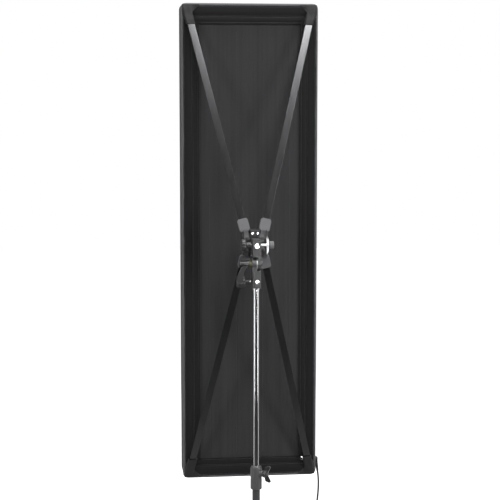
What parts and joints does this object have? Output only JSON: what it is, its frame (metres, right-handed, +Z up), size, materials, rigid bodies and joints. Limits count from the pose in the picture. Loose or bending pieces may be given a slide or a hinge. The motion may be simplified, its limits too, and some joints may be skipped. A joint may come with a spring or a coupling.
{
  "type": "studio softbox",
  "caption": "Tall strip softbox for a flexible LED mat, held by an X bracket and tilt head on a folding light stand.",
  "frame": {"origin": "on the floor, in the middle of the bounding box of the open legs; the stand's column stands behind it on -Y", "axes": "+Z up along the column, +Y the way the light shines, +X to the right as seen from behind the softbox"},
  "size_m": [0.9142, 0.7917, 2.09],
  "materials": {
    "black_cloth": "matt woven nylon",
    "mat_cloth": "ribbed woven cloth",
    "white_cloth": "white translucent nylon",
    "led_board": "white flexible circuit",
    "hook_tape": "hook-and-loop tape",
    "spring_steel": "dull brushed strip",
    "grey_plastic": "moulded, fine texture",
    "black_plastic": "moulded, satin",
    "chrome": "bright plating",
    "zinc_steel": "zinc plated",
    "black_metal": "satin black coating",
    "olive_nylon": "olive nylon",
    "black_rubber": "moulded rubber",
    "cord_jacket": "flexible jacket"
  },
  "bodies": {
    "root": {"base_tube_section": "black_metal", "base_collar": "grey_plastic", "column_end_cap": "black_rubber", "leg_casting": "black_plastic", "leg_pins": "zinc_steel"},
    "base_collar_knob": {"base_collar_knob": "black_plastic"},
    "middle_section": {"middle_tube_section": "black_metal", "top_collar": "grey_plastic"},
    "top_collar_knob": {"top_collar_knob": "black_plastic"},
    "top_section": {"top_tube_section": "chrome", "stand_pin": "chrome"},
    "socket": {"stand_socket": "black_metal", "socket_guard_screw": "chrome", "tilt_bolt": "black_metal", "tilt_washer": "chrome", "lever_spacer": "olive_nylon"},
    "socket_knob": {"socket_knob": "black_plastic"},
    "tilt_lever": {"tilt_lever": "black_plastic"},
    "head": {"tilt_head": "black_metal"},
    "spigot_knob": {"spigot_knob": "black_plastic"},
    "wing_screw": {"spigot_wing_screw": "chrome", "wing_screw_cap": "grey_plastic"},
    "softbox": {"softbox_shell": "black_cloth", "front_diffuser": "white_cloth", "diffuser_hem": "black_cloth", "mat_rear_cover": "mat_cloth", "led_board": "led_board", "hook_and_loop_strips": "hook_tape", "hub_cover": "black_plastic", "hub_plate": "black_plastic", "hub_rivets": "black_metal", "hub_screws": "zinc_steel", "hub_spacer": "black_plastic", "spigot": "chrome", "spigot_nut": "zinc_steel", "cable_gland": "black_rubber", "power_cord": "cord_jacket", "cord_connector": "black_plastic", "arm_top_left": "spring_steel", "sleeve_top_left": "grey_plastic", "pocket_top_left": "black_cloth", "arm_top_right": "spring_steel", "sleeve_top_right": "grey_plastic", "pocket_top_right": "black_cloth", "arm_bottom_left": "spring_steel", "sleeve_bottom_left": "grey_plastic", "pocket_bottom_left": "black_cloth", "arm_bottom_right": "spring_steel", "sleeve_bottom_right": "grey_plastic", "pocket_bottom_right": "black_cloth"},
    "leg_front": {"leg_front": "black_metal", "foot_front": "black_rubber"},
    "brace_front": {"brace_front": "black_metal"},
    "leg_left": {"leg_left": "black_metal", "foot_left": "black_rubber"},
    "brace_left": {"brace_left": "black_metal"},
    "leg_right": {"leg_right": "black_metal", "foot_right": "black_rubber"},
    "brace_right": {"brace_right": "black_metal"},
    "sliding_ring": {"sliding_ring": "black_plastic"}
  },
  "joints": [
    {"name": "leg_fold_front", "type": "hinge", "parent": "root", "child": "leg_front", "pos_m": [0, -0.09173, 0.30575], "axis": [-1, 0, 0], "range_deg": [0, 54]},
    {"name": "brace_turn_front", "type": "hinge", "parent": "leg_front", "child": "brace_front", "pos_m": [0, 0.01004, 0.24216], "axis": [-1, 0, 0], "range_deg": [-108, 0]},
    {"name": "leg_fold_left", "type": "hinge", "parent": "root", "child": "leg_left", "pos_m": [-0.03118, -0.14573, 0.30575], "axis": [0.5, -0.866, 0], "range_deg": [0, 54]},
    {"name": "brace_turn_left", "type": "hinge", "parent": "leg_left", "child": "brace_left", "pos_m": [-0.11931, -0.19661, 0.24216], "axis": [0.5, -0.866, 0], "range_deg": [-108, 0]},
    {"name": "leg_fold_right", "type": "hinge", "parent": "root", "child": "leg_right", "pos_m": [0.03118, -0.14573, 0.30575], "axis": [0.5, 0.866, 0], "range_deg": [0, 54]},
    {"name": "brace_turn_right", "type": "hinge", "parent": "leg_right", "child": "brace_right", "pos_m": [0.11931, -0.19661, 0.24216], "axis": [0.5, 0.866, 0], "range_deg": [-108, 0]},
    {"name": "ring_slide", "type": "slide", "parent": "root", "child": "sliding_ring", "axis": [0, 0, 1], "range_m": [-0.1124, 0]},
    {"name": "middle_slide", "type": "slide", "parent": "root", "child": "middle_section", "axis": [0, 0, 1], "range_m": [-0.2, 0.12]},
    {"name": "top_slide", "type": "slide", "parent": "middle_section", "child": "top_section", "axis": [0, 0, 1], "range_m": [-0.3, 0.1]},
    {"name": "pan", "type": "hinge", "parent": "top_section", "child": "socket", "pos_m": [0, -0.12773, 1.371], "axis": [0, 0, 1], "range_deg": [-180, 180]},
    {"name": "tilt", "type": "hinge", "parent": "socket", "child": "head", "pos_m": [0, -0.12773, 1.417], "axis": [1, 0, 0], "range_deg": [-10, 75]},
    {"name": "roll", "type": "hinge", "parent": "head", "child": "softbox", "pos_m": [0, -0.12773, 1.465], "axis": [0, 1, 0], "range_deg": [-90, 90]},
    {"name": "tilt_lever_swing", "type": "hinge", "parent": "socket", "child": "tilt_lever", "pos_m": [-0.03, -0.12773, 1.417], "axis": [1, 0, 0], "range_deg": [-60, 0]},
    {"name": "spigot_knob_turn", "type": "hinge", "parent": "head", "child": "spigot_knob", "pos_m": [-0.02, -0.12773, 1.465], "axis": [-1, 0, 0], "range_deg": [0, 720]},
    {"name": "wing_screw_turn", "type": "hinge", "parent": "head", "child": "wing_screw", "pos_m": [0.02, -0.12773, 1.465], "axis": [1, 0, 0], "range_deg": [0, 720]},
    {"name": "socket_knob_turn", "type": "hinge", "parent": "socket", "child": "socket_knob", "pos_m": [-0.02, -0.12773, 1.371], "axis": [-1, 0, 0], "range_deg": [0, 720]},
    {"name": "top_collar_knob_turn", "type": "hinge", "parent": "middle_section", "child": "top_collar_knob", "pos_m": [0.01696, -0.13833, 0.866], "axis": [0.848, -0.5299, 0], "range_deg": [0, 720]},
    {"name": "base_collar_knob_turn", "type": "hinge", "parent": "root", "child": "base_collar_knob", "pos_m": [0.01879, -0.13457, 0.594], "axis": [0.9397, -0.342, 0], "range_deg": [0, 720]}
  ],
  "couplings": [
    {"joint": "brace_turn_front", "follows": "leg_fold_front", "ratio": -2},
    {"joint": "leg_fold_left", "follows": "leg_fold_front", "ratio": 1},
    {"joint": "brace_turn_left", "follows": "leg_fold_front", "ratio": -2},
    {"joint": "leg_fold_right", "follows": "leg_fold_front", "ratio": 1},
    {"joint": "brace_turn_right", "follows": "leg_fold_front", "ratio": -2},
    {"joint": "ring_slide", "follows": "leg_fold_front", "m_per_rad": -0.11908}
  ]
}
